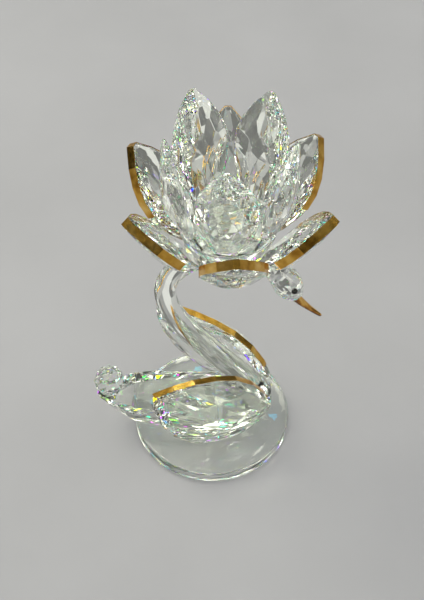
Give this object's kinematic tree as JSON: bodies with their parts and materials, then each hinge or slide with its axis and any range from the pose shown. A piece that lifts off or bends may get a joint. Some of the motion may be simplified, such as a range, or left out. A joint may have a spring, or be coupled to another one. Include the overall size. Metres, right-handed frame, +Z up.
{
  "type": "crystal swan candle holder figurine",
  "caption": "Cut crystal swan on a round disc, with raised gilt-edged wings and a lotus of glass petals on its arched neck that holds a tealight.",
  "frame": {"origin": "centre of the base disc's underside", "axes": "+Z up; +X the way the swan faces; +Y the swan's left"},
  "size_m": [0.1403, 0.1237, 0.2502],
  "materials": {
    "crystal": "polished clear cut crystal",
    "gilding": "bright gold lustre on flat glass edges",
    "beak": "amber gold lustre",
    "eyes": "glossy black bead"
  },
  "bodies": {
    "root": {"base_disc": "crystal", "body": "crystal", "tail_ball": "crystal", "wing_left": "crystal", "wing_right": "crystal", "wing_left_gilding": "gilding", "wing_right_gilding": "gilding", "neck_and_head": "crystal", "beak": "beak", "eye_left": "eyes", "eye_right": "eyes", "lotus_hub": "crystal", "candle_dish": "crystal", "inner_petal_1": "crystal", "inner_petal_2": "crystal", "inner_petal_3": "crystal", "inner_petal_4": "crystal", "inner_petal_5": "crystal", "outer_petal_1": "crystal", "outer_petal_2": "crystal", "outer_petal_3": "crystal", "outer_petal_4": "crystal", "outer_petal_5": "crystal", "outer_petal_6": "crystal", "petal_gilding_1": "gilding", "petal_gilding_2": "gilding", "petal_gilding_3": "gilding", "petal_gilding_4": "gilding", "petal_gilding_5": "gilding", "petal_gilding_6": "gilding"}
  },
  "joints": []
}
